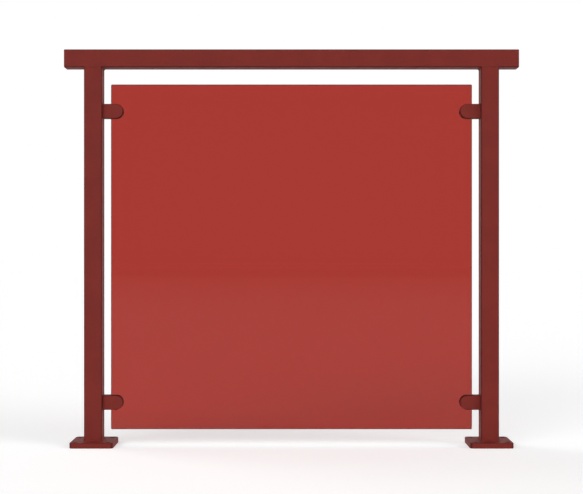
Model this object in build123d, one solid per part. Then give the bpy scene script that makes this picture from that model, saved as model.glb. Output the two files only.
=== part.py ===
from build123d import *
import os

# Glass balustrade panel: two square posts on base plates, a square handrail, and one glass pane
# that four D-shaped clamps hold between the posts. All sizes are in millimetres.
# The origin is on the floor, midway between the posts. +X runs along the handrail, +Z is up, and
# the plain side of the clamps faces -Y. Pieces of the left side are mirrored for the right side.

# Frame, of one square hollow section
HEIGHT = 1100.0  # floor to the top of the handrail
POST_SPACING = 1100.0  # centre to centre
RAIL_OVERHANG = 55.0  # past the outer face of each post
TUBE_SIZE = 50.0
TUBE_WALL = 3.0
TUBE_CORNER = 4.0  # outer radius
LEAST_INNER_CORNER = 0.5
END_PLATE_THICKNESS = 3.0
END_PLATE_BEVEL = 0.8

# Base plates and welds
PLATE_SIZE = 120.0
PLATE_THICKNESS = 15.0
PLATE_CORNER = 10.0
PLATE_BEVEL = 1.0
ANCHOR_HOLE = 14.0  # for M12 anchors
ANCHOR_EDGE = 15.0  # centre of a hole to the plate's edges
WELD_LEG = 3.0
WELD_LIP = 0.5  # thickness that a bead keeps along its thin edges
WELD_CLEARANCE = 0.3  # between a bead and a rounded corner of a tube

# Glass pane
GLASS_THICKNESS = 10.0
GLASS_SIDE_GAP = 22.5  # face of a post to the edge of the glass
GLASS_TOP_GAP = 45.0  # underside of the handrail to the glass
GLASS_FLOOR_GAP = 45.0
GLASS_CORNER = 3.0
GLASS_ARRIS = 1.5

# Clamps: a body with the front jaw and the heel, and a cover that is the rear jaw
CLAMP_LENGTH = 56.5  # face of the post to the tip of the nose
CLAMP_HEIGHT = 40.0
CLAMP_INSET = 75.0  # centre of a clamp to the top or bottom edge of the glass
JAW_THICKNESS = 7.0
JAW_BEVEL = 1.0
HEEL_DEPTH = 18.0
GASKET_THICKNESS = 2.0
GASKET_INSET = 1.0
GASKET_HEEL_GAP = 2.0
RIB_WIDTH = 3.0  # rib on the back of a gasket
RIB_HEIGHT = 24.0
RIB_DEPTH = 2.5

# Fasteners of a clamp
FIT = 0.3  # clearance round shanks, barrels and ribs
HEAD_FIT = 0.5  # clearance round sunk heads and flanges
BOLT_DIAMETER = 6.0
BOLT_LENGTH = 25.0
BOLT_HEAD_DIAMETER = 10.0
BOLT_HEAD_HEIGHT = 6.0
BOLT_HEAD_BEVEL = 0.5
BOLT_HEAD_SINK = 0.5  # top of the head below the face of the heel
BOLT_HEX = 5.0
BOLT_HEX_DEPTH = 3.0
SCREW_DIAMETER = 5.0
SCREW_LENGTH = 20.0
SCREW_HEAD_DIAMETER = 10.0
SCREW_HEX = 3.0
SCREW_HEX_DEPTH = 2.0
SCREW_EDGE = 8.0  # centre of a screw to the top or bottom of the clamp
TAPPED_HOLE_SPARE = 2.0  # depth past the end of a screw
NUT_LENGTH = 14.0  # below the flange
NUT_BARREL_DIAMETER = 9.0
NUT_FLANGE_DIAMETER = 11.0
NUT_FLANGE_THICKNESS = 0.8
NUT_BULB_DIAMETER = 12.5
NUT_BULB_LENGTH = 4.0

# Places worked out from the sizes
POST_X = POST_SPACING / 2
POST_FACE_X = POST_X - TUBE_SIZE / 2
POST_TOP = HEIGHT - TUBE_SIZE
RAIL_Z = HEIGHT - TUBE_SIZE / 2
RAIL_END_X = POST_X + TUBE_SIZE / 2 + RAIL_OVERHANG
GLASS_WIDTH = 2 * (POST_FACE_X - GLASS_SIDE_GAP)
GLASS_TOP = POST_TOP - GLASS_TOP_GAP
CLAMP_LEVELS = {"lower": GLASS_FLOOR_GAP + CLAMP_INSET, "upper": GLASS_TOP - CLAMP_INSET}
GLASS_FACE = GLASS_THICKNESS / 2
JAW_INNER = GLASS_FACE + GASKET_THICKNESS
JAW_OUTER = JAW_INNER + JAW_THICKNESS
GASKET_START = HEEL_DEPTH + GASKET_HEEL_GAP
RIB_X = (GASKET_START + CLAMP_LENGTH) / 2
BOLT_SEAT_X = HEEL_DEPTH - BOLT_HEAD_SINK - BOLT_HEAD_HEIGHT

# Places of a clamp's two screws, where X runs from the post and Y stands for height
SCREW_PLACES = [Pos(HEEL_DEPTH / 2, side * (CLAMP_HEIGHT / 2 - SCREW_EDGE)) for side in (-1, 1)]

CENTRED_DOWN = (Align.CENTER, Align.CENTER, Align.MAX)
CENTRED_UP = (Align.CENTER, Align.CENTER, Align.MIN)


def slab(outline, front, back):
    """Solid between two depths along Y, from an outline drawn in X and Z."""
    return extrude(Plane.XZ.offset(-back) * outline, back - front)


def rod_x(diameter, start, end):
    """Round bar on the X axis, between two places."""
    return extrude(Plane.YZ.offset(start) * Circle(diameter / 2), end - start)


def tube_outline():
    """Outside of the frame's square section."""
    return RectangleRounded(TUBE_SIZE, TUBE_SIZE, TUBE_CORNER)


def tube_ring():
    """Cut through the wall of the frame's square section."""
    hollow = TUBE_SIZE - 2 * TUBE_WALL
    inner_corner = max(TUBE_CORNER - TUBE_WALL, LEAST_INNER_CORNER)
    return tube_outline() - RectangleRounded(hollow, hollow, inner_corner)


def left_post():
    """Tube from base plate to handrail, with a hole for the rivet nut of each clamp."""
    post = extrude(Pos(-POST_X, 0, PLATE_THICKNESS) * tube_ring(), POST_TOP - PLATE_THICKNESS)
    hole = rod_x(NUT_BARREL_DIAMETER + 2 * FIT, -TUBE_WALL - FIT, FIT)
    for height in CLAMP_LEVELS.values():
        post -= Pos(-POST_FACE_X, 0, height) * hole
    return post


def handrail():
    """Tube of the handrail, between its two end plates."""
    half_length = RAIL_END_X - END_PLATE_THICKNESS
    tube = extrude(Plane.YZ.offset(-half_length) * tube_ring(), 2 * half_length)
    return Pos(0, 0, RAIL_Z) * tube


def left_rail_end_plate():
    """Plate that closes the handrail, flush with its outside and bevelled round its face."""
    plate = extrude(Plane.YZ.offset(-RAIL_END_X) * tube_outline(), END_PLATE_THICKNESS)
    plate = chamfer(plate.faces().sort_by(Axis.X)[0].edges(), END_PLATE_BEVEL)
    return Pos(0, 0, RAIL_Z) * plate


def left_base_plate():
    """Floor plate with rounded corners, a bevelled top edge and four anchor holes."""
    plate = extrude(RectangleRounded(PLATE_SIZE, PLATE_SIZE, PLATE_CORNER), PLATE_THICKNESS)
    plate = chamfer(plate.faces().sort_by(Axis.Z)[-1].edges(), PLATE_BEVEL)
    spacing = PLATE_SIZE - 2 * ANCHOR_EDGE
    for place in GridLocations(spacing, spacing, 2, 2):
        plate -= place * extrude(Circle(ANCHOR_HOLE / 2), PLATE_THICKNESS)
    return Pos(-POST_X, 0, 0) * plate


def left_base_weld():
    """Fillet bead round the foot of the post."""
    toe = TUBE_SIZE + 2 * WELD_LEG
    outside = RectangleRounded(toe, toe, TUBE_CORNER + WELD_LEG)
    inside = RectangleRounded(TUBE_SIZE, TUBE_SIZE, TUBE_CORNER - WELD_CLEARANCE)
    ring = extrude(outside - inside, WELD_LEG)
    outer_rim = ring.faces().sort_by(Axis.Z)[-1].outer_wire().edges()
    return Pos(-POST_X, 0, PLATE_THICKNESS) * chamfer(outer_rim, WELD_LEG - WELD_LIP)


def left_rail_weld():
    """Beads under the handrail: a fillet bead on two sides of the post, a groove bead on the others."""
    flat = TUBE_SIZE - 2 * TUBE_CORNER
    bead = Box(WELD_LEG, flat, WELD_LEG, align=(Align.MIN, Align.CENTER, Align.MAX))
    outer_edge = bead.edges().filter_by(Axis.Y).group_by(Axis.Z)[0].sort_by(Axis.X)[-1]
    side_bead = Pos(TUBE_SIZE / 2, 0, 0) * chamfer(outer_edge, WELD_LEG - WELD_LIP)
    # The rounded edge of the handrail leaves a groove over the front and the back of the post.
    groove = Box(flat, TUBE_CORNER, TUBE_CORNER, align=(Align.CENTER, Align.MIN, Align.MIN))
    rounding = Rot(0, 90, 0) * Cylinder(TUBE_CORNER + WELD_CLEARANCE, TUBE_SIZE)
    groove -= Pos(0, TUBE_CORNER, TUBE_CORNER) * rounding
    front_bead = Pos(0, -TUBE_SIZE / 2, 0) * groove
    beads = [side_bead, front_bead, mirror(side_bead, about=Plane.YZ), mirror(front_bead, about=Plane.XZ)]
    return Pos(-POST_X, 0, POST_TOP) * Compound(children=beads)


def glass_panel():
    """Pane with rounded corners and ground edges."""
    height = GLASS_TOP - GLASS_FLOOR_GAP
    outline = Pos(0, GLASS_FLOOR_GAP + height / 2) * RectangleRounded(GLASS_WIDTH, height, GLASS_CORNER)
    pane = slab(outline, -GLASS_FACE, GLASS_FACE)
    faces = pane.faces().sort_by(Axis.Y)
    return chamfer(faces[0].edges() + faces[-1].edges(), GLASS_ARRIS)


def d_outline(start=0.0, inset=0.0):
    """D of a clamp, with its straight side at X = start and its half-round nose pulled in by the inset."""
    nose_x = CLAMP_LENGTH - CLAMP_HEIGHT / 2
    radius = CLAMP_HEIGHT / 2 - inset
    sides = Polyline((nose_x, -radius), (start, -radius), (start, radius), (nose_x, radius))
    nose = ThreePointArc((nose_x, radius), (nose_x + radius, 0), (nose_x, -radius))
    return make_face(sides + nose)


def rib(front, back, clearance=0.0):
    """Upright rib of a gasket, or its groove in a jaw when a clearance is given."""
    outline = Rectangle(RIB_WIDTH + 2 * clearance, RIB_HEIGHT + 2 * clearance)
    return slab(Pos(RIB_X, 0) * outline, front, back)


def clamp_body():
    """Front jaw and heel in one piece. The heel is bolted to the post, and tapped for the cover."""
    jaw = slab(d_outline(), -JAW_OUTER, -JAW_INNER)
    jaw = chamfer(jaw.faces().sort_by(Axis.Y)[0].edges(), JAW_BEVEL)
    heel = slab(Pos(HEEL_DEPTH / 2, 0) * Rectangle(HEEL_DEPTH, CLAMP_HEIGHT), -JAW_INNER, JAW_INNER)
    body = jaw + heel
    body -= rod_x(BOLT_DIAMETER + 2 * FIT, 0, HEEL_DEPTH)
    body -= rod_x(BOLT_HEAD_DIAMETER + 2 * HEAD_FIT, BOLT_SEAT_X, HEEL_DEPTH)
    body -= rod_x(NUT_FLANGE_DIAMETER + 2 * HEAD_FIT, 0, NUT_FLANGE_THICKNESS + FIT)
    tapped_end = JAW_OUTER - SCREW_LENGTH - TAPPED_HOLE_SPARE
    for place in SCREW_PLACES:
        body -= slab(place * Circle(SCREW_DIAMETER / 2 + FIT), tapped_end, JAW_INNER)
    return body - rib(-JAW_INNER - RIB_DEPTH - FIT, -JAW_INNER, FIT)


def screw_frame(place):
    """Frame of a cover screw: on the outer face of the cover, with Z pointing out of the clamp."""
    return Pos(place.position.X, JAW_OUTER, place.position.Y) * Rot(-90, 0, 0)


def countersink(clearance=0.0):
    """Cone of a screw head hanging down from Z = 0, or of its seat when a clearance is given."""
    head = SCREW_HEAD_DIAMETER / 2 + clearance
    neck = SCREW_DIAMETER / 2 + clearance
    return Cone(neck, head, head - neck, align=CENTRED_DOWN)


def clamp_cover():
    """Rear jaw, with countersunk holes for its two screws."""
    cover = slab(d_outline(), JAW_INNER, JAW_OUTER)
    cover = chamfer(cover.faces().sort_by(Axis.Y)[-1].edges(), JAW_BEVEL)
    for place in SCREW_PLACES:
        cover -= slab(place * Circle(SCREW_DIAMETER / 2 + FIT), JAW_INNER, JAW_OUTER)
        cover -= screw_frame(place) * countersink(FIT)
    return cover - rib(JAW_INNER, JAW_INNER + RIB_DEPTH + FIT, FIT)


def front_gasket():
    """Rubber pad of the front jaw, with a rib that sits in the jaw's groove."""
    pad = slab(d_outline(GASKET_START, GASKET_INSET), -JAW_INNER, -GLASS_FACE)
    return pad + rib(-JAW_INNER - RIB_DEPTH, -JAW_INNER)


def hex_socket(across_flats, depth):
    """Six-sided recess going down from Z = 0."""
    return extrude(RegularPolygon(across_flats / 2, 6, major_radius=False), -depth)


def cover_screws():
    """Two countersunk screws, driven through the cover into the heel."""
    shank = Cylinder(SCREW_DIAMETER / 2, SCREW_LENGTH, align=CENTRED_DOWN)
    screw = countersink() + shank - hex_socket(SCREW_HEX, SCREW_HEX_DEPTH)
    return Compound(children=[screw_frame(place) * screw for place in SCREW_PLACES])


def post_bolt():
    """Cap screw that draws the heel against the post."""
    head = Cylinder(BOLT_HEAD_DIAMETER / 2, BOLT_HEAD_HEIGHT, align=CENTRED_UP)
    head = chamfer(head.faces().sort_by(Axis.Z)[-1].edges(), BOLT_HEAD_BEVEL)
    head -= Pos(0, 0, BOLT_HEAD_HEIGHT) * hex_socket(BOLT_HEX, BOLT_HEX_DEPTH)
    bolt = head + Cylinder(BOLT_DIAMETER / 2, BOLT_LENGTH, align=CENTRED_DOWN)
    return Pos(BOLT_SEAT_X, 0, 0) * Rot(0, 90, 0) * bolt


def rivet_nut():
    """Threaded insert in the wall of the post, with its flange outside and its bulb inside."""
    nut = rod_x(NUT_FLANGE_DIAMETER, 0, NUT_FLANGE_THICKNESS)
    nut += rod_x(NUT_BARREL_DIAMETER, -NUT_LENGTH, 0)
    nut += rod_x(NUT_BULB_DIAMETER, -TUBE_WALL - NUT_BULB_LENGTH, -TUBE_WALL)
    return nut - rod_x(BOLT_DIAMETER + 2 * FIT, -NUT_LENGTH, NUT_FLANGE_THICKNESS)


def save(shape, name):
    """Writes one piece under its name."""
    export_step(shape, f"parts/{name}.step")


def save_both_sides(left_shape, name):
    """Writes a piece of the left side and its mirror image on the right."""
    save(left_shape, f"left_{name}")
    save(mirror(left_shape, about=Plane.YZ), f"right_{name}")


def save_clamps():
    """Writes the pieces of the four clamps. Each is modelled with the face of its post at X = 0."""
    pieces = {
        "clamp_body": clamp_body(),
        "clamp_cover": clamp_cover(),
        "front_gasket": front_gasket(),
        "rear_gasket": mirror(front_gasket(), about=Plane.XZ),
        "cover_screws": cover_screws(),
        "post_bolt": post_bolt(),
        "rivet_nut": rivet_nut(),
    }
    for level, height in CLAMP_LEVELS.items():
        for name, piece in pieces.items():
            save_both_sides(Pos(-POST_FACE_X, 0, height) * piece, f"{level}_{name}")


os.makedirs("parts", exist_ok=True)
save(handrail(), "handrail")
save(glass_panel(), "glass_panel")
save_both_sides(left_post(), "post")
save_both_sides(left_rail_end_plate(), "rail_end_plate")
save_both_sides(left_base_plate(), "base_plate")
save_both_sides(left_base_weld(), "base_weld")
save_both_sides(left_rail_weld(), "rail_weld")
save_clamps()
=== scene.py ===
import math

import bpy
from bpy.props import FloatProperty, FloatVectorProperty, PointerProperty
from mathutils import Matrix, Vector


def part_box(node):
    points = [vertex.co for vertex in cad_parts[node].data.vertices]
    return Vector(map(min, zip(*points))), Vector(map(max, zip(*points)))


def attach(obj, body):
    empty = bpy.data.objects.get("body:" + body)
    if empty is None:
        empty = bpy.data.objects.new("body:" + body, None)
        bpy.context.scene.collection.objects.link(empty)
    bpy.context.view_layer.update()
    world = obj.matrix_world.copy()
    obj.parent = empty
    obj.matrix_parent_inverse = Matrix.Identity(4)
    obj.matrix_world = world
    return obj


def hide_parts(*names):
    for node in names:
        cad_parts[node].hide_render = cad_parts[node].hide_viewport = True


# Looks of a glass balustrade panel: powder-coated steel frame and clamps, tinted pane, weld beads,
# rubber gaskets and fasteners. Everything is in metres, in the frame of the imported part: +X runs
# along the handrail, +Z is up, and the photographed side faces -Y.

bl_info = {
    "name": "Glass balustrade panel",
    "version": (1, 0, 0),
    "blender": (4, 5, 0),
    "location": "3D View > Sidebar > Balustrade",
    "description": "Coats, welds, glazes and fastens a glass balustrade panel, and sets up its studio",
    "category": "Object",
}

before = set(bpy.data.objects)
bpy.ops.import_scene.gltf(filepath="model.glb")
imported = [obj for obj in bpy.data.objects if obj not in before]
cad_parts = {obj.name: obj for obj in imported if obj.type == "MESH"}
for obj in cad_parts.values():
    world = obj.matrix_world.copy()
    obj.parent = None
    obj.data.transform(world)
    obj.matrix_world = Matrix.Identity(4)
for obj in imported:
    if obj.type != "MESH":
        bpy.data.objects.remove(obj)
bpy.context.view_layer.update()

MM = 0.001
SIDES = ("left", "right")
LEVELS = ("lower", "upper")
CLAMPS = [f"{side}_{level}" for side in SIDES for level in LEVELS]
TUBE_CORNER = 4.0 * MM  # outer radius of the posts' and the handrail's edges
MERGE_REACH = 0.004 * MM  # vertices that are closer than this become one
SHARP_TURN = 35.0  # degrees; an edge stays sharp where the surface turns by more

# Camera, fitted to the photograph's edges: level and straight in front of the panel
CAMERA_PLACE = (0.0, -3.421, 0.5524)
FOCAL_PIXELS = 1227.0
PICTURE_WIDTH = 583.0
SENSOR_WIDTH = 36.0  # millimetres

# Soft windows of the studio: bearing and height in degrees, and share of the daylight.
# A bearing of 0 is the camera's side, and minus is to its left.
WINDOWS = (
    (-40.0, 18.0, 0.62),
    (-15.0, 18.0, 0.50),
    (65.0, 18.0, 1.0),
    (-120.0, 35.0, 0.42),
)

FLOOR_REACH = 160.0  # metres of floor on each side
# Places on Y between which the floor turns into plain light, in front of the panel and behind it
FRONT_FADE = (-24.0, -5.0)
BACK_FADE = (8.0, 40.0)


def size(name, description, default, **more):
    """Length that a user may change, in metres."""
    return FloatProperty(
        name=name, description=description, default=default, unit="LENGTH", precision=5, **more)


def colour(name, description, default):
    """Linear colour that a user may change."""
    return FloatVectorProperty(
        name=name, description=description, subtype="COLOR", size=3, min=0.0, max=1.0, default=default)


def share(name, description, default, **more):
    """Plain number from 0 to 1 that a user may change."""
    return FloatProperty(
        name=name, description=description, default=default, min=0.0, max=1.0, subtype="FACTOR", **more)


class StageSettings(bpy.types.PropertyGroup):
    """Floor and light of the studio."""

    floor_colour: colour("Floor colour", "Colour of the studio floor", (0.8, 0.8, 0.8))
    floor_glow: share(
        "Floor glow", "White that the floor adds where it is seen, and not to the object", 0.42)
    front_light: share("Front light", "Brightness of the studio on the camera's side", 0.5)
    back_light: share("Back light", "Brightness of the studio behind the panel", 0.34)
    top_light: share("Top light", "Brightness of the studio's ceiling", 0.27)
    mirrored_light: share("Mirrored light", "Brightness of the studio's front that the pane mirrors", 0.73)
    daylight: FloatProperty(
        name="Daylight", description="Light that the strongest window gives", min=0.0, default=1.37)
    window_spread: FloatProperty(
        name="Window spread", description="Apparent width of a window",
        subtype="ANGLE", min=0.0, default=math.radians(30.0))


class CoatSettings(bpy.types.PropertyGroup):
    """Powder coat of the frame and the clamps."""

    tint: colour("Coat colour", "Colour of the powder coat", (0.171, 0.0205, 0.0155))
    # Painted shade: the dark colour that the coat's edges are darkened towards.
    painted_edge_shade: colour("Edge colour", "Colour where the coat thins out over an edge", (0.07, 0.009, 0.007))
    roughness: share("Roughness", "Mean roughness of the coat", 0.6)
    peel_width: size("Peel width", "Width of one bump of the orange peel", 1.4 * MM, min=0.1 * MM)
    peel_depth: size("Peel depth", "Height of the orange peel", 0.05 * MM, min=0.0)


class GlassSettings(bpy.types.PropertyGroup):
    """Tinted pane."""

    through: colour("Seen through", "White light after passing the pane", (0.382, 0.0138, 0.0022))
    # Painted shade: the dark tint that the pane's ground edges are darkened towards.
    painted_edge_shade: colour("Edge tint", "Tint that the ground edges add", (0.3, 0.22, 0.22))
    edge_roughness: share("Edge roughness", "Roughness of the ground edges", 0.3)
    wave_width: size("Wave width", "Distance between two roller waves", 220.0 * MM, min=10.0 * MM)
    wave_depth: size("Wave depth", "Height of the roller waves", 0.01 * MM, min=0.0)


class WeldSettings(bpy.types.PropertyGroup):
    """Weld beads."""

    leg: size("Leg", "Leg of a fillet bead", 3.0 * MM, min=1.0 * MM)
    ripple_pitch: size("Ripple pitch", "Distance between two ripples", 1.7 * MM, min=0.5 * MM)
    unevenness: size("Unevenness", "How far the surface of a bead wanders", 0.25 * MM, min=0.0)


class FastenerSettings(bpy.types.PropertyGroup):
    """Screws, bolts, rivet nuts and gaskets."""

    zinc: colour("Zinc colour", "Colour of the plated steel", (0.5, 0.51, 0.53))
    rubber: colour("Rubber colour", "Colour of the gaskets", (0.018, 0.018, 0.019))
    screw_pitch: size("Screw pitch", "Pitch of a cover screw's thread", 0.8 * MM, min=0.3 * MM)
    bolt_pitch: size("Bolt pitch", "Pitch of a post bolt's thread", 1.0 * MM, min=0.3 * MM)


class BalustradeSettings(bpy.types.PropertyGroup):
    """All sizes and colours of the panel's looks."""

    stage: PointerProperty(type=StageSettings)
    coat: PointerProperty(type=CoatSettings)
    glass: PointerProperty(type=GlassSettings)
    weld: PointerProperty(type=WeldSettings)
    fastener: PointerProperty(type=FastenerSettings)


# Selection and finishing of meshes

def deselect_all():
    """Clears the selection, so that an operator only acts on what is selected after it."""
    if bpy.context.object is not None and bpy.context.object.mode != "OBJECT":
        bpy.ops.object.mode_set(mode="OBJECT")
    bpy.ops.object.select_all(action="DESELECT")


def take(piece):
    """Selects one object alone and makes it the active one."""
    deselect_all()
    piece.select_set(True)
    bpy.context.view_layer.objects.active = piece
    return piece


def edit_all(piece):
    """Enters edit mode on one object, with all of its mesh selected."""
    take(piece)
    bpy.ops.object.mode_set(mode="EDIT")
    bpy.ops.mesh.select_all(action="SELECT")


def tidy_shell(piece):
    """Merges doubles and turns all faces outwards."""
    edit_all(piece)
    bpy.ops.mesh.remove_doubles(threshold=MERGE_REACH)
    bpy.ops.mesh.normals_make_consistent(inside=False)
    bpy.ops.object.mode_set(mode="OBJECT")
    return piece


def apply_modifiers(piece):
    """Applies all modifiers of a piece, in their order."""
    take(piece)
    for modifier in list(piece.modifiers):
        bpy.ops.object.modifier_apply(modifier=modifier.name)
    return piece


def combine(piece, tool, operation):
    """Boolean of a piece with a tool, which is used up. The slivers it leaves are merged."""
    modifier = piece.modifiers.new("combine", "BOOLEAN")
    modifier.operation = operation
    modifier.solver = "EXACT"
    modifier.object = tool
    apply_modifiers(piece)
    bpy.data.objects.remove(tool)
    return tidy_shell(piece)


def copied(piece, name, place):
    """Copy of a piece with its own mesh, put in place in its mesh."""
    copy = piece.copy()
    copy.data = piece.data.copy()
    copy.name = name
    bpy.context.scene.collection.objects.link(copy)
    copy.matrix_world = place
    take(copy)
    bpy.ops.object.transform_apply(location=True, rotation=True, scale=True)
    return copy


def joined(pieces, name):
    """One object of several."""
    take(pieces[0])
    for piece in pieces:
        piece.select_set(True)
    bpy.ops.object.join()
    pieces[0].name = name
    pieces[0].data.name = name
    return pieces[0]


def smooth(piece, angle=SHARP_TURN):
    """Smooth shading, with edges kept sharp where the surface turns by more than an angle."""
    take(piece)
    bpy.ops.object.shade_smooth_by_angle(angle=math.radians(angle))
    return piece


def finished(piece, material, node):
    """Gives a piece its material, and lets it stand for a CAD node of the fixed frame."""
    piece.data.materials.clear()
    piece.data.materials.append(material)
    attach(piece, "root")
    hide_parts(node)
    return piece


# Shapes that several pieces start from

THREAD_STEPS = 24  # steps in one turn of a thread
THREAD_HALF_WIDTH = 0.44  # of a thread's ridge at its foot, in pitches
THREAD_SUNK = 0.1  # how far that foot lies inside the core, in pitches
SOCKET_CONE = 0.25  # height of the cone at a socket's bottom, in radii
SOCKET_TIP = 0.1  # width of that cone's tip, as a share of its base


def in_metres(outline):
    """Outline that is drawn in millimetres, in metres."""
    return [(first * MM, second * MM) for first, second in outline]


def turned(name, outline, sides, ring=False):
    """Turned shape round Z: a ring of edges is extruded along the outline, a list of radius and height."""
    radius, height = outline[0]
    deselect_all()
    bpy.ops.mesh.primitive_circle_add(vertices=sides, radius=radius, location=(0, 0, height))
    piece = bpy.context.object
    piece.name = name
    bpy.ops.object.transform_apply()
    edit_all(piece)
    stops = outline[1:] + outline[:1] if ring else outline[1:]
    for next_radius, next_height in stops:
        step = (0, 0, next_height - height)
        bpy.ops.mesh.extrude_edges_move(TRANSFORM_OT_translate={"value": step})
        scale = next_radius / radius
        bpy.ops.transform.resize(value=(scale, scale, 1), center_override=(0, 0, next_height))
        radius, height = next_radius, next_height
    if not ring:
        bpy.ops.mesh.select_all(action="SELECT")
        bpy.ops.mesh.fill_holes(sides=0)
    bpy.ops.object.mode_set(mode="OBJECT")
    return tidy_shell(piece)


def socket_tool(across_flats, top, depth):
    """Six-sided bar that cuts a socket, with a drilled cone at its bottom."""
    deselect_all()
    radius = across_flats / math.sqrt(3)
    cone = SOCKET_CONE * radius
    bpy.ops.mesh.primitive_circle_add(vertices=6, radius=radius, location=(0, 0, top))
    tool = bpy.context.object
    bpy.ops.object.transform_apply()
    edit_all(tool)
    bpy.ops.mesh.extrude_edges_move(TRANSFORM_OT_translate={"value": (0, 0, -depth)})
    bpy.ops.mesh.extrude_edges_move(TRANSFORM_OT_translate={"value": (0, 0, -cone)})
    bpy.ops.transform.resize(
        value=(SOCKET_TIP, SOCKET_TIP, 1), center_override=(0, 0, top - depth - cone))
    bpy.ops.mesh.select_all(action="SELECT")
    bpy.ops.mesh.fill_holes(sides=0)
    bpy.ops.object.mode_set(mode="OBJECT")
    return tidy_shell(tool)


def thread(root, crest, pitch, bottom, top):
    """Helical ridge round Z, sunk a little into its core."""
    deselect_all()
    bpy.ops.mesh.primitive_circle_add(vertices=3, radius=crest, rotation=(math.radians(90), 0, 0))
    ridge = bpy.context.object
    bpy.ops.object.transform_apply()
    half_width = THREAD_HALF_WIDTH * pitch
    sunk = root - THREAD_SUNK * pitch
    corners = ((crest, bottom), (sunk, bottom + half_width), (sunk, bottom - half_width))
    for vertex, (radius, height) in zip(ridge.data.vertices, corners):
        vertex.co = (radius, 0, height)
    screw = ridge.modifiers.new("helix", "SCREW")
    screw.axis = "Z"
    screw.screw_offset = pitch
    screw.iterations = int((top - bottom) / pitch)
    screw.steps = THREAD_STEPS
    screw.render_steps = THREAD_STEPS
    screw.use_merge_vertices = True
    screw.merge_threshold = 0.001 * MM
    apply_modifiers(ridge)
    edit_all(ridge)
    bpy.ops.mesh.fill_holes(sides=0)
    bpy.ops.object.mode_set(mode="OBJECT")
    return tidy_shell(ridge)


# Weld beads. A bead runs along X, and its outline is drawn in Y and Z, from the line where its faces meet.

FILLET_ROOT = (0.0, 0.0)
FILLET_CROWN = 0.8  # distance of the face's middle from the root, in legs
FILLET_STEPS = 8  # steps of a fillet's face
FILLET_SUNK = 0.15 * MM  # how far a fillet's back lies inside the steel

# Bead in the groove under the handrail's rounded edge, nearly flush with the post
GROOVE_ROOT = (-2.5 * MM, 0.2 * MM)
GROOVE_CROWN = (0.33 * MM, 0.7 * MM)
GROOVE_FACE = in_metres((
    (-0.1, -2.2), (0.05, -1.7), (0.2, -1.1), (0.3, -0.4), (0.33, 0.7),
    (0.28, 1.4), (0.15, 2.1), (0.0, 2.7), (-0.13, 3.3)))
GROOVE_STOP = 1.5 * MM  # end of a groove bead to the side of its post

# Share of a ripple's length, and how far the bead swells there
RIPPLE = ((0.0, 0.93), (0.2, 1.0), (0.5, 1.04), (0.8, 1.02), (1.0, 0.93))
RIPPLE_LEAN = 0.55  # how far the crown runs ahead of the toes, in ripples

# Rounded end of a bead, past its ripples: its length, then share of that length and how far it shrinks
BEAD_END = 1.35 * MM
END_STEPS = ((0.52, 0.8), (0.33, 0.65), (0.15, 0.35))

BEAD_TURN = 60.0  # degrees; only the edges of a bead that turn by more stay sharp
POOL_WIDTH = 3.5 * MM  # width of the bumps by which a bead is uneven
RAIL_BEAD_CALM = 0.8  # unevenness of a rail weld, as a share of a base weld's
CORNER_STEPS = 8  # steps of a post's rounded corner
SIDE_CUTS = 30  # cuts along a post's flat side


def fillet_outline(leg):
    """Outline of a fillet bead: its sunk root, its first toe, a slightly crowned face, and its other toe."""
    face = []
    for step in range(1, FILLET_STEPS):
        turn = math.radians(90.0 * step / FILLET_STEPS)
        radius = leg * (1.0 - (1.0 - FILLET_CROWN) * math.sin(2 * turn) ** 1.5)
        face.append((radius * math.cos(turn), radius * math.sin(turn)))
    return [(-FILLET_SUNK, -FILLET_SUNK), (leg, -FILLET_SUNK)] + face + [(-FILLET_SUNK, leg)]


def bead(name, outline, root, crown, length, settings):
    """Open run of a rippled bead along X, made of one ripple that is repeated.

    The ripples swell round the root, and the crown of a ripple runs ahead of its toes."""
    count = round(length / settings.ripple_pitch)
    pitch = length / count
    deselect_all()
    bpy.ops.mesh.primitive_circle_add(vertices=len(outline), radius=settings.leg)
    run = bpy.context.object
    run.name = name
    first_swell = RIPPLE[0][1]
    for vertex, (y, z) in zip(run.data.vertices, outline):
        vertex.co = (0, root[0] + (y - root[0]) * first_swell, root[1] + (z - root[1]) * first_swell)
    edit_all(run)
    for (start, swell), (end, next_swell) in zip(RIPPLE, RIPPLE[1:]):
        step = (pitch * (end - start), 0, 0)
        bpy.ops.mesh.extrude_edges_move(TRANSFORM_OT_translate={"value": step})
        scale = next_swell / swell
        bpy.ops.transform.resize(value=(1, scale, scale), center_override=(pitch * end, *root))
    bpy.ops.object.mode_set(mode="OBJECT")
    reach = min(math.dist(crown, toe) for toe in (outline[1], outline[-1]))
    for vertex in run.data.vertices:
        ahead = 1.0 - math.dist(crown, vertex.co.yz) / reach
        vertex.co.x += RIPPLE_LEAN * pitch * max(0.0, ahead)
    repeat = run.modifiers.new("ripples", "ARRAY")
    repeat.count = count
    repeat.use_relative_offset = False
    repeat.use_constant_offset = True
    repeat.constant_offset_displace = (pitch, 0, 0)
    repeat.use_merge_vertices = True
    repeat.merge_threshold = 0.01 * MM
    return apply_modifiers(run)


def fillet(name, length, settings):
    """Run of a fillet bead, with its root in the corner between two faces."""
    crown = FILLET_CROWN * settings.leg / math.sqrt(2)
    return bead(name, fillet_outline(settings.leg), FILLET_ROOT, (crown, crown), length, settings)


def groove(name, length, settings):
    """Run of the bead in the groove under the handrail's rounded edge."""
    return bead(name, [GROOVE_ROOT] + GROOVE_FACE, GROOVE_ROOT, GROOVE_CROWN, length, settings)


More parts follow.
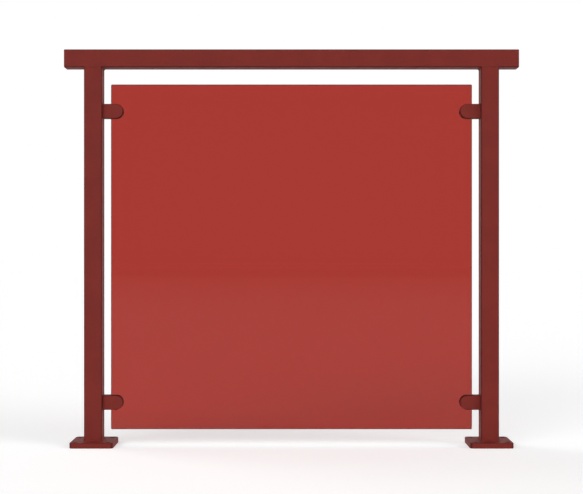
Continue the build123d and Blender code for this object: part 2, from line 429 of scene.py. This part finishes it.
def select_open_end(run, middle, direction):
    """Selects the open end of a bead that lies in one direction from its middle."""
    edit_all(run)
    bpy.ops.mesh.select_all(action="DESELECT")
    bpy.ops.mesh.select_non_manifold(
        extend=False, use_wire=False, use_boundary=True, use_multi_face=False,
        use_non_contiguous=False, use_verts=False)
    bpy.ops.object.mode_set(mode="OBJECT")
    kept = set()
    for edge in run.data.edges:
        ends = [run.data.vertices[index].co for index in edge.vertices]
        if edge.select and all((end.x - middle) * direction < 0 for end in ends):
            edge.select = False
        if edge.select:
            kept.update(edge.vertices)
    for vertex in run.data.vertices:
        vertex.select = vertex.index in kept


def rounded_ends(run, root):
    """Closes both ends of a bead with a rounded end that shrinks to its root."""
    middle = sum(vertex.co.x for vertex in run.data.vertices) / len(run.data.vertices)
    for direction in (-1, 1):
        for part, scale in END_STEPS:
            select_open_end(run, middle, direction)
            bpy.ops.object.mode_set(mode="EDIT")
            step = (part * BEAD_END * direction, 0, 0)
            bpy.ops.mesh.extrude_edges_move(TRANSFORM_OT_translate={"value": step})
            bpy.ops.transform.resize(value=(1, scale, scale), center_override=(0, *root))
    edit_all(run)
    bpy.ops.mesh.fill_holes(sides=0)
    bpy.ops.object.mode_set(mode="OBJECT")
    return run


def uneven(run, amount):
    """Lets the surface of a bead wander, so that no two ripples are the same."""
    texture = bpy.data.textures.new("weld_pool", "CLOUDS")
    texture.noise_scale = POOL_WIDTH
    texture.noise_depth = 1
    push = run.modifiers.new("pool", "DISPLACE")
    push.texture = texture
    push.texture_coords = "LOCAL"
    push.strength = amount
    apply_modifiers(run)
    bpy.data.textures.remove(texture)
    return run


def square_path(width, corner):
    """Closed curve in the shape of a square with rounded corners, round the origin."""
    deselect_all()
    bpy.ops.mesh.primitive_plane_add(size=width)
    path = bpy.context.object
    edit_all(path)
    bpy.ops.mesh.bevel(offset=corner, offset_type="OFFSET", affect="VERTICES", segments=CORNER_STEPS)
    bpy.ops.mesh.delete(type="ONLY_FACE")
    bpy.ops.mesh.select_all(action="DESELECT")
    bpy.ops.object.mode_set(mode="OBJECT")
    for edge in path.data.edges:
        start, end = (path.data.vertices[index] for index in edge.vertices)
        edge.select = (start.co - end.co).length > 0.5 * width
    bpy.ops.object.mode_set(mode="EDIT")
    bpy.ops.mesh.subdivide(number_cuts=SIDE_CUTS)
    bpy.ops.object.mode_set(mode="OBJECT")
    bpy.ops.object.convert(target="CURVE")
    return bpy.context.object


def mid(node):
    """Middle of a CAD node's box."""
    low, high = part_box(node)
    return (low + high) / 2


# Materials

def new_material(name):
    """Node material with only its Principled shader. Returns the material, its tree and the shader."""
    material = bpy.data.materials.new(name)
    material.use_nodes = True
    return material, material.node_tree, material.node_tree.nodes["Principled BSDF"]


def noise(tree, width, detail=2.0, stretch=(1, 1, 1)):
    """Noise on the object's own coordinates, with bumps of the given width in metres. From 0 to 1."""
    coordinate = tree.nodes.new("ShaderNodeTexCoord")
    mapping = tree.nodes.new("ShaderNodeMapping")
    mapping.inputs["Scale"].default_value = stretch
    texture = tree.nodes.new("ShaderNodeTexNoise")
    texture.inputs["Scale"].default_value = 1.0 / width
    texture.inputs["Detail"].default_value = detail
    tree.links.new(coordinate.outputs["Object"], mapping.inputs["Vector"])
    tree.links.new(mapping.outputs["Vector"], texture.inputs["Vector"])
    return texture.outputs["Fac"]


def ranged(tree, value, low, high, start=0.3, end=0.7):
    """Maps a value softly from between start and end to between low and high.

    Nearly all of a noise lies between 0.3 and 0.7."""
    node = tree.nodes.new("ShaderNodeMapRange")
    node.interpolation_type = "SMOOTHSTEP"
    for socket, number in (("From Min", start), ("From Max", end), ("To Min", low), ("To Max", high)):
        node.inputs[socket].default_value = number
    tree.links.new(value, node.inputs["Value"])
    return node.outputs["Result"]


def calculated(tree, operation, first, second=None):
    """Math node of one or two sockets or numbers."""
    node = tree.nodes.new("ShaderNodeMath")
    node.operation = operation
    for place, value in enumerate((first, second)):
        if value is None:
            continue
        if isinstance(value, (int, float)):
            node.inputs[place].default_value = value
        else:
            tree.links.new(value, node.inputs[place])
    return node.outputs[0]


def blended(tree, factor, first, second):
    """Mix of two colours."""
    node = tree.nodes.new("ShaderNodeMix")
    node.data_type = "RGBA"
    tree.links.new(factor, node.inputs["Factor"])
    sockets = [socket for socket in node.inputs if socket.type == "RGBA"]
    for socket, value in zip(sockets, (first, second)):
        if isinstance(value, bpy.types.NodeSocket):
            tree.links.new(value, socket)
        else:
            socket.default_value = (*value, 1)
    return [socket for socket in node.outputs if socket.type == "RGBA"][0]


def bumped(tree, shader, height, depth):
    """Bump on the shader's normal, with a height from 0 to 1 that stands for a depth in metres."""
    bump = tree.nodes.new("ShaderNodeBump")
    bump.inputs["Strength"].default_value = 1.0
    bump.inputs["Distance"].default_value = depth
    tree.links.new(height, bump.inputs["Height"])
    tree.links.new(bump.outputs["Normal"], shader.inputs["Normal"])


def scaled(tint, factor):
    """Colour made lighter or darker."""
    return tuple(min(1.0, channel * factor) for channel in tint)


def facing(tree, axes):
    """Largest share that the surface's normal has of the given axes: 1 where it faces along one of them."""
    coordinate = tree.nodes.new("ShaderNodeTexCoord")
    split = tree.nodes.new("ShaderNodeSeparateXYZ")
    tree.links.new(coordinate.outputs["Normal"], split.inputs[0])
    shares = [calculated(tree, "ABSOLUTE", split.outputs[axis]) for axis in axes]
    largest = shares[0]
    for each in shares[1:]:
        largest = calculated(tree, "MAXIMUM", largest, each)
    return largest


def tube_edges(tree):
    """1 where a surface turns between two of the frame's main directions, 0 on its flat faces."""
    return ranged(tree, facing(tree, "XYZ"), 1.0, 0.0, start=0.75, end=0.98)


def jaw_edges(tree):
    """1 on the bevels round a clamp's jaws, 0 on its faces and its half-round nose."""
    across = facing(tree, "Y")
    off_nose = ranged(tree, across, 0.0, 1.0, start=0.3, end=0.6)
    off_face = ranged(tree, across, 1.0, 0.0, start=0.8, end=0.95)
    return calculated(tree, "MULTIPLY", off_nose, off_face)


def coat_material(name, settings, edges=None):
    """Powder coat: orange peel, faint clouds and specks, and painted shade that darkens its edges."""
    material, tree, shader = new_material(name)
    clouds = ranged(tree, noise(tree, width=45 * MM, detail=3.0), 0.0, 1.0)
    body = blended(tree, clouds, scaled(settings.tint, 0.95), scaled(settings.tint, 1.05))
    specks = ranged(tree, noise(tree, width=0.5 * MM, detail=1.0), 0.0, 1.0, start=0.62, end=0.72)
    speck_share = calculated(tree, "MULTIPLY", specks, 0.35)
    body = blended(tree, speck_share, body, scaled(settings.tint, 1.35))
    # Painted shade: the edges are darkened towards the edge colour.
    if edges is not None:
        body = blended(tree, edges(tree), body, tuple(settings.painted_edge_shade))
    tree.links.new(body, shader.inputs["Base Color"])
    gloss_patches = noise(tree, width=12 * MM)
    uneven_gloss = ranged(tree, gloss_patches, settings.roughness - 0.05, settings.roughness + 0.06)
    tree.links.new(uneven_gloss, shader.inputs["Roughness"])
    shader.inputs["Specular IOR Level"].default_value = 0.12
    bumped(tree, shader, noise(tree, settings.peel_width), settings.peel_depth)
    return material


def glass_material(name, settings):
    """Glass tinted in the mass, with ground edges that painted shade darkens, and the faint waves of
    toughened glass.
    """
    material, tree, shader = new_material(name)
    shader.inputs["IOR"].default_value = 1.52
    shader.inputs["Transmission Weight"].default_value = 1.0
    low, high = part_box("glass_panel")
    thickness = high.y - low.y
    absorption = tree.nodes.new("ShaderNodeVolumeAbsorption")
    absorbed = [-math.log(part) / thickness for part in settings.through]
    density = max(absorbed)
    kept = [1.0 - part / density for part in absorbed]
    absorption.inputs["Color"].default_value = (*kept, 1)
    absorption.inputs["Density"].default_value = density
    tree.links.new(absorption.outputs[0], tree.nodes["Material Output"].inputs["Volume"])
    edge = ranged(tree, facing(tree, "Y"), 1.0, 0.0, start=0.85, end=0.95)
    # Painted shade: the ground edges are darkened towards the edge tint.
    tint = blended(tree, edge, (1, 1, 1), tuple(settings.painted_edge_shade))
    tree.links.new(tint, shader.inputs["Base Color"])
    grain = noise(tree, width=4 * MM)
    ground = ranged(tree, grain, settings.edge_roughness - 0.05, settings.edge_roughness + 0.05)
    ground_edge = calculated(tree, "MULTIPLY", edge, ground)
    wiped_face = ranged(tree, noise(tree, width=90 * MM, detail=4.0), 0.0, 0.012)
    tree.links.new(calculated(tree, "MAXIMUM", wiped_face, ground_edge), shader.inputs["Roughness"])
    waves = noise(tree, settings.wave_width, detail=1.0, stretch=(0.25, 1, 1))
    bumped(tree, shader, waves, settings.wave_depth)
    return material


def zinc_material(name, settings):
    """Plated steel: bright zinc with dull patches and fine pitting."""
    material, tree, shader = new_material(name)
    shader.inputs["Metallic"].default_value = 1.0
    patches = ranged(tree, noise(tree, width=2.2 * MM, detail=3.0), 0.0, 1.0)
    tint = blended(tree, patches, scaled(settings.zinc, 0.82), scaled(settings.zinc, 1.06))
    tree.links.new(tint, shader.inputs["Base Color"])
    dull_spots = noise(tree, width=1.1 * MM, detail=3.0)
    tree.links.new(ranged(tree, dull_spots, 0.24, 0.46), shader.inputs["Roughness"])
    bumped(tree, shader, noise(tree, width=0.25 * MM), depth=0.004 * MM)
    return material


def rubber_material(name, settings):
    """Moulded rubber: nearly black, matt, with a fine grain and a dusty bloom."""
    material, tree, shader = new_material(name)
    bloom = ranged(tree, noise(tree, width=6 * MM, detail=4.0), 0.0, 1.0)
    tint = blended(tree, bloom, tuple(settings.rubber), scaled(settings.rubber, 1.7))
    tree.links.new(tint, shader.inputs["Base Color"])
    tree.links.new(ranged(tree, noise(tree, width=1.5 * MM), 0.58, 0.78), shader.inputs["Roughness"])
    shader.inputs["Specular IOR Level"].default_value = 0.35
    bumped(tree, shader, noise(tree, width=0.3 * MM, detail=3.0), depth=0.02 * MM)
    return material


def frame_coat(name, settings):
    """Coat of the tubes and plates, with painted shade darkening their edges."""
    return coat_material(name, settings, tube_edges)


def clamp_coat(name, settings):
    """Coat of the clamps, with painted shade darkening the bevels of their jaws."""
    return coat_material(name, settings, jaw_edges)


# Maker of each kind of surface, and the group of settings that it reads
MAKERS = {
    "frame_coat": (frame_coat, "coat"),
    "weld_coat": (coat_material, "coat"),
    "clamp_coat": (clamp_coat, "coat"),
    "tinted_glass": (glass_material, "glass"),
    "gasket_rubber": (rubber_material, "fastener"),
    "zinc_steel": (zinc_material, "fastener"),
}


def finish_of(kind):
    """Material of one kind of surface, made when it is first asked for."""
    name = f"{kind}_finish"
    if name not in bpy.data.materials:
        maker, group = MAKERS[kind]
        maker(name, getattr(bpy.context.scene.balustrade, group))
    return bpy.data.materials[name]


def coat_nodes(slot):
    """Gives all CAD nodes of one slot its finish."""
    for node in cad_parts.values():
        for place in node.material_slots:
            if place.material.name.split(".")[0] == slot:
                place.material = finish_of(slot)


# Studio

def seen_directly(tree, path, glossy):
    """1 for a ray that carries what the camera sees, and 0 for one that lights the object."""
    seen = calculated(tree, "MAXIMUM", path.outputs["Is Camera Ray"], path.outputs["Is Transmission Ray"])
    if glossy:
        seen = calculated(tree, "MAXIMUM", seen, path.outputs["Is Glossy Ray"])
    lit = calculated(tree, "MINIMUM", path.outputs["Diffuse Depth"], 1.0)
    return calculated(tree, "MULTIPLY", seen, calculated(tree, "SUBTRACT", 1.0, lit))


def faded(tree, factor, first, second):
    """Mix of two numbers, each a socket or a plain number."""
    node = tree.nodes.new("ShaderNodeMix")
    tree.links.new(factor, node.inputs["Factor"])
    for socket, value in (("A", first), ("B", second)):
        if isinstance(value, (int, float)):
            node.inputs[socket].default_value = value
        else:
            tree.links.new(value, node.inputs[socket])
    return node.outputs["Result"]


def floor_material(settings):
    """Matt white floor. It adds its glow only where it is seen, and turns into plain light far away.

    That light is white, apart from its image in the pane."""
    material, tree, shader = new_material("studio_floor")
    nodes, links = tree.nodes, tree.links
    shader.inputs["Base Color"].default_value = (*settings.floor_colour, 1)
    shader.inputs["Roughness"].default_value = 0.9
    shader.inputs["Specular IOR Level"].default_value = 0.0
    path = nodes.new("ShaderNodeLightPath")
    seen = seen_directly(tree, path, glossy=True)
    shader.inputs["Emission Color"].default_value = (1, 1, 1, 1)
    links.new(calculated(tree, "MULTIPLY", seen, settings.floor_glow), shader.inputs["Emission Strength"])
    far = nodes.new("ShaderNodeEmission")
    unmirrored = seen_directly(tree, path, glossy=False)
    links.new(faded(tree, unmirrored, settings.mirrored_light, 1.0), far.inputs["Strength"])
    coordinate = nodes.new("ShaderNodeTexCoord")
    split = nodes.new("ShaderNodeSeparateXYZ")
    links.new(coordinate.outputs["Object"], split.inputs[0])
    front = ranged(tree, split.outputs["Y"], 0.0, 1.0, *FRONT_FADE)
    back = ranged(tree, split.outputs["Y"], 1.0, 0.0, *BACK_FADE)
    near = calculated(tree, "MULTIPLY", front, back)
    mixed = nodes.new("ShaderNodeMixShader")
    links.new(near, mixed.inputs[0])
    links.new(far.outputs[0], mixed.inputs[1])
    links.new(shader.outputs[0], mixed.inputs[2])
    links.new(mixed.outputs[0], nodes["Material Output"].inputs["Surface"])
    return material


class BALUSTRADE_OT_stage(bpy.types.Operator):
    """Sets up floor, world, windows and camera"""

    bl_idname = "balustrade.stage"
    bl_label = "Set up the studio"

    def execute(self, context):
        settings = context.scene.balustrade.stage
        self.lay_floor(settings)
        self.light_world(context.scene, settings)
        self.place_camera(context.scene)
        context.scene.view_settings.view_transform = "Standard"
        context.scene.cycles.blur_glossy = 0.0  # daylight passes through the pane unblurred
        return {"FINISHED"}

    def lay_floor(self, settings):
        """White floor, far larger than the panel."""
        deselect_all()
        bpy.ops.mesh.primitive_plane_add(size=2 * FLOOR_REACH)
        floor = bpy.context.object
        floor.name = "studio_floor"
        floor.data.materials.append(floor_material(settings))

    def light_world(self, scene, settings):
        """World that lights the object from walls, ceiling and windows, and looks white itself."""
        world = bpy.data.worlds.new("studio")
        scene.world = world
        world.use_nodes = True
        tree = world.node_tree
        coordinate = tree.nodes.new("ShaderNodeTexCoord")
        split = tree.nodes.new("ShaderNodeSeparateXYZ")
        tree.links.new(coordinate.outputs["Generated"], split.inputs[0])
        up = ranged(tree, split.outputs["Z"], 0.0, 1.0, start=0.3, end=0.9)
        behind = ranged(tree, split.outputs["Y"], 0.0, 1.0, start=-0.3, end=0.3)
        path = tree.nodes.new("ShaderNodeLightPath")
        seen = seen_directly(tree, path, glossy=False)
        walls = faded(tree, behind, settings.front_light, settings.back_light)
        lighting = faded(tree, up, walls, settings.top_light)
        for window in WINDOWS:
            patch = self.window_light(tree, coordinate.outputs["Generated"], settings, *window)
            lighting = calculated(tree, "ADD", lighting, patch)
        mirrored = faded(tree, behind, settings.mirrored_light, 1.0)
        value = faded(tree, path.outputs["Is Glossy Ray"], lighting, mirrored)
        background = tree.nodes["Background"]
        background.inputs["Color"].default_value = (1, 1, 1, 1)
        tree.links.new(faded(tree, seen, value, 1.0), background.inputs["Strength"])

    def window_light(self, tree, direction, settings, bearing, height, part):
        """Round patch of light with soft edges, which is neither seen nor mirrored in the pane."""
        across, up = math.radians(bearing), math.radians(height)
        towards = (math.sin(across) * math.cos(up), -math.cos(across) * math.cos(up), math.sin(up))
        match = tree.nodes.new("ShaderNodeVectorMath")
        match.operation = "DOT_PRODUCT"
        match.inputs[1].default_value = towards
        tree.links.new(direction, match.inputs[0])
        reach = settings.window_spread / 2
        brightness = settings.daylight * part / (math.pi * math.sin(reach) ** 2)
        outer_rim, inner_rim = math.cos(1.15 * reach), math.cos(0.85 * reach)
        return ranged(tree, match.outputs["Value"], 0.0, brightness, outer_rim, inner_rim)

    def place_camera(self, scene):
        """Camera at the photograph's place, with its width of view."""
        camera = bpy.data.cameras.new("camera")
        camera.sensor_width = SENSOR_WIDTH
        camera.lens = FOCAL_PIXELS * SENSOR_WIDTH / PICTURE_WIDTH
        camera.clip_end = 1000.0
        holder = bpy.data.objects.new("camera", camera)
        holder.location = CAMERA_PLACE
        holder.rotation_euler = (math.radians(90.0), 0, 0)
        scene.collection.objects.link(holder)
        scene.camera = holder


class BALUSTRADE_OT_steelwork(bpy.types.Operator):
    """Coats the posts, handrail, plates and clamps"""

    bl_idname = "balustrade.steelwork"
    bl_label = "Coat the steelwork"

    def execute(self, context):
        coat_nodes("frame_coat")
        coat_nodes("clamp_coat")
        return {"FINISHED"}


class BALUSTRADE_OT_pane(bpy.types.Operator):
    """Tints the pane and grinds its edges"""

    bl_idname = "balustrade.pane"
    bl_label = "Glaze the panel"

    def execute(self, context):
        coat_nodes("tinted_glass")
        return {"FINISHED"}


class BALUSTRADE_OT_gaskets(bpy.types.Operator):
    """Gives the gaskets their rubber"""

    bl_idname = "balustrade.gaskets"
    bl_label = "Fit the gaskets"

    def execute(self, context):
        coat_nodes("gasket_rubber")
        return {"FINISHED"}


class BALUSTRADE_OT_base_welds(bpy.types.Operator):
    """Lays a rippled fillet bead round the foot of each post"""

    bl_idname = "balustrade.base_welds"
    bl_label = "Weld the posts to their plates"

    def execute(self, context):
        settings = context.scene.balustrade.weld
        low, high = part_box("left_post")
        path = square_path(high.x - low.x, TUBE_CORNER)
        length = path.data.splines[0].calc_length()
        ring = fillet("base_weld", length, settings)
        # The path runs anticlockwise, so the bead is turned over to come outside it.
        ring.scale.y = -1
        bpy.ops.object.transform_apply(scale=True)
        bend = ring.modifiers.new("bend", "CURVE")
        bend.object = path
        bend.deform_axis = "POS_X"
        apply_modifiers(ring)
        bpy.data.objects.remove(path)
        tidy_shell(ring)
        uneven(ring, settings.unevenness)
        smooth(ring, BEAD_TURN)
        for side in SIDES:
            node = f"{side}_base_weld"
            centre = mid(f"{side}_post")
            foot = Vector((centre.x, centre.y, low.z))
            piece = copied(ring, f"{node}_bead", Matrix.Translation(foot))
            finished(piece, finish_of("weld_coat"), node)
        bpy.data.objects.remove(ring)
        return {"FINISHED"}


class BALUSTRADE_OT_rail_welds(bpy.types.Operator):
    """Lays four beads between each post and the handrail"""

    bl_idname = "balustrade.rail_welds"
    bl_label = "Weld the posts to the handrail"

    def execute(self, context):
        settings = context.scene.balustrade.weld
        low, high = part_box("left_post")
        half = (high.x - low.x) / 2
        side_length = 2 * (half - TUBE_CORNER - BEAD_END)
        front_length = 2 * (half - GROOVE_STOP - BEAD_END)
        side_run = rounded_ends(fillet("rail_fillet", side_length, settings), FILLET_ROOT)
        front_run = rounded_ends(groove("rail_groove", front_length, settings), GROOVE_ROOT)
        for run in (side_run, front_run):
            tidy_shell(run)
            uneven(run, settings.unevenness * RAIL_BEAD_CALM)
            smooth(run, BEAD_TURN)
        # A fillet hangs under the handrail: its height points down and it runs along Y.
        hung = Matrix(((0, 1, 0, half), (1, 0, 0, 0), (0, 0, -1, 0), (0, 0, 0, 1)))
        # A groove bead faces away from the post, to the camera's side.
        outward = Matrix(((-1, 0, 0, 0), (0, -1, 0, -half), (0, 0, 1, 0), (0, 0, 0, 1)))
        for side in SIDES:
            node = f"{side}_rail_weld"
            centre = mid(f"{side}_post")
            head = Matrix.Translation((centre.x, centre.y, high.z))
            beads = []
            for turn in (0, math.pi):
                turned_round = head @ Matrix.Rotation(turn, 4, "Z")
                runs = ((side_run, hung, side_length), (front_run, outward, front_length))
                for run, place, length in runs:
                    centred = Matrix.Translation((-length / 2, 0, 0))
                    beads.append(copied(run, "bead", turned_round @ place @ centred))
            piece = joined(beads, f"{node}_beads")
            finished(piece, finish_of("weld_coat"), node)
        bpy.data.objects.remove(side_run)
        bpy.data.objects.remove(front_run)
        return {"FINISHED"}


# Fasteners. Their outlines give radius and height, and height 0 is the face that they sit on.

SCREW_OUTLINE = in_metres((
    (4.75, 0.0), (4.98, -0.12), (4.98, -0.35), (2.7, -2.65), (2.4, -3.2), (2.1, -3.6),
    (2.1, -19.3), (1.5, -20.0)))
SCREW_SIDES = 48
SCREW_TURN = 23.0  # degrees from one cover screw to the next, as no two stop alike

BOLT_OUTLINE = in_metres((
    (4.5, 6.0), (4.98, 5.5), (4.98, 0.3), (4.8, 0.0), (3.2, 0.0), (3.0, -0.3), (3.0, -0.8),
    (2.5, -1.3), (2.5, -24.3), (1.9, -25.0)))
BOLT_SIDES = 72
BOLT_HEAD = 6.0 * MM  # height of the head
BOLT_TURN = 17.0  # degrees from one post bolt to the next
KNURL_BOTTOM = 0.2 * MM
KNURL_TOP = 5.6 * MM
KNURL_RADIUS = 4.9 * MM  # only what lies further out is knurled
KNURL_SCALE = 0.965

NUT_OUTLINE = in_metres((
    (3.3, 0.8), (5.2, 0.8), (5.48, 0.55), (5.48, 0.0), (4.5, 0.0), (4.5, -3.0), (5.9, -3.4),
    (6.22, -4.3), (6.0, -5.6), (5.0, -6.6), (4.5, -7.0), (4.5, -13.6), (4.1, -14.0), (3.3, -14.0)))
NUT_SIDES = 48
NUT_FLANGE = 0.8 * MM  # thickness of the flange


def on_post(node, height):
    """Place of a fastener drawn along +Z, so that it points from its post to the glass.

    The height is that of its head or flange, whose end is the end of the CAD node."""
    low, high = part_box(node)
    centre = (low + high) / 2
    across = Matrix.Rotation(math.radians(90), 4, "Y")
    if node.startswith("left"):
        return Matrix.Translation((high.x - height, centre.y, centre.z)) @ across
    turned_back = Matrix.Rotation(math.pi, 4, "Z") @ across
    return Matrix.Translation((low.x + height, centre.y, centre.z)) @ turned_back


class BALUSTRADE_OT_cover_screws(bpy.types.Operator):
    """Makes the countersunk screws of the clamp covers"""

    bl_idname = "balustrade.cover_screws"
    bl_label = "Drive the cover screws"

    def execute(self, context):
        settings = context.scene.balustrade.fastener
        screw = turned("cover_screw", SCREW_OUTLINE, SCREW_SIDES)
        ridge = thread(
            root=2.1 * MM, crest=2.48 * MM, pitch=settings.screw_pitch, bottom=-19.2 * MM, top=-4.0 * MM)
        combine(screw, ridge, "UNION")
        socket = socket_tool(across_flats=3.0 * MM, top=0.5 * MM, depth=2.3 * MM)
        combine(screw, socket, "DIFFERENCE")
        smooth(screw)
        turn_angle = 0.0
        for clamp in CLAMPS:
            node = f"{clamp}_cover_screws"
            low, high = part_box(node)
            x = (low.x + high.x) / 2
            radius = (high.x - low.x) / 2
            screws = []
            for z in (low.z + radius, high.z - radius):
                turn_angle += SCREW_TURN
                place = Matrix.Translation((x, high.y, z)) @ Matrix.Rotation(math.radians(-90), 4, "X")
                place @= Matrix.Rotation(math.radians(turn_angle), 4, "Z")
                screws.append(copied(screw, "screw", place))
            piece = joined(screws, f"{node}_threaded")
            finished(piece, finish_of("zinc_steel"), node)
        bpy.data.objects.remove(screw)
        return {"FINISHED"}


class BALUSTRADE_OT_post_bolts(bpy.types.Operator):
    """Makes the cap screws that hold the clamps to the posts"""

    bl_idname = "balustrade.post_bolts"
    bl_label = "Drive the post bolts"

    def execute(self, context):
        settings = context.scene.balustrade.fastener
        bolt = turned("post_bolt", BOLT_OUTLINE, BOLT_SIDES)
        # Knurl: every other vertex of the head's wall is pulled in.
        for vertex in bolt.data.vertices:
            in_band = KNURL_BOTTOM < vertex.co.z < KNURL_TOP
            on_wall = math.hypot(vertex.co.x, vertex.co.y) > KNURL_RADIUS
            step = round(math.atan2(vertex.co.y, vertex.co.x) / (2 * math.pi / BOLT_SIDES))
            if in_band and on_wall and step % 2:
                vertex.co.x *= KNURL_SCALE
                vertex.co.y *= KNURL_SCALE
        ridge = thread(
            root=2.5 * MM, crest=2.98 * MM, pitch=settings.bolt_pitch, bottom=-24.0 * MM, top=-1.8 * MM)
        combine(bolt, ridge, "UNION")
        socket = socket_tool(across_flats=5.0 * MM, top=6.5 * MM, depth=3.5 * MM)
        combine(bolt, socket, "DIFFERENCE")
        smooth(bolt)
        for index, clamp in enumerate(CLAMPS):
            node = f"{clamp}_post_bolt"
            place = on_post(node, BOLT_HEAD) @ Matrix.Rotation(math.radians(BOLT_TURN * index), 4, "Z")
            piece = copied(bolt, f"{node}_threaded", place)
            finished(piece, finish_of("zinc_steel"), node)
        bpy.data.objects.remove(bolt)
        return {"FINISHED"}


class BALUSTRADE_OT_rivet_nuts(bpy.types.Operator):
    """Makes the threaded inserts in the walls of the posts"""

    bl_idname = "balustrade.rivet_nuts"
    bl_label = "Set the rivet nuts"

    def execute(self, context):
        nut = turned("rivet_nut", NUT_OUTLINE, NUT_SIDES, ring=True)
        smooth(nut)
        for clamp in CLAMPS:
            node = f"{clamp}_rivet_nut"
            piece = copied(nut, f"{node}_pressed", on_post(node, NUT_FLANGE))
            finished(piece, finish_of("zinc_steel"), node)
        bpy.data.objects.remove(nut)
        return {"FINISHED"}


GROUPS = (("stage", "Studio"), ("coat", "Powder coat"), ("glass", "Glass"), ("weld", "Welds"),
          ("fastener", "Fasteners and gaskets"))
STEPS = (
    BALUSTRADE_OT_stage, BALUSTRADE_OT_steelwork, BALUSTRADE_OT_pane, BALUSTRADE_OT_gaskets,
    BALUSTRADE_OT_base_welds, BALUSTRADE_OT_rail_welds, BALUSTRADE_OT_cover_screws,
    BALUSTRADE_OT_post_bolts, BALUSTRADE_OT_rivet_nuts,
)


class BALUSTRADE_PT_panel(bpy.types.Panel):
    """Lists the sizes, colours and steps of the panel's looks"""

    bl_idname = "BALUSTRADE_PT_panel"
    bl_label = "Glass balustrade panel"
    bl_space_type = "VIEW_3D"
    bl_region_type = "UI"
    bl_category = "Balustrade"

    def draw(self, context):
        settings = context.scene.balustrade
        for group, label in GROUPS:
            box = self.layout.box()
            box.label(text=label)
            for name in getattr(settings, group).__annotations__:
                box.prop(getattr(settings, group), name)
        for step in STEPS:
            self.layout.operator(step.bl_idname)


CLASSES = (
    StageSettings, CoatSettings, GlassSettings, WeldSettings, FastenerSettings, BalustradeSettings,
    *STEPS, BALUSTRADE_PT_panel,
)


def register():
    for entry in CLASSES:
        bpy.utils.register_class(entry)
    bpy.types.Scene.balustrade = PointerProperty(type=BalustradeSettings)


def unregister():
    del bpy.types.Scene.balustrade
    for entry in reversed(CLASSES):
        bpy.utils.unregister_class(entry)


def main():
    """Makes every piece in order."""
    register()
    bpy.ops.balustrade.stage()
    bpy.ops.balustrade.steelwork()
    bpy.ops.balustrade.pane()
    bpy.ops.balustrade.gaskets()
    bpy.ops.balustrade.base_welds()
    bpy.ops.balustrade.rail_welds()
    bpy.ops.balustrade.cover_screws()
    bpy.ops.balustrade.post_bolts()
    bpy.ops.balustrade.rivet_nuts()


if __name__ == "__main__":
    main()
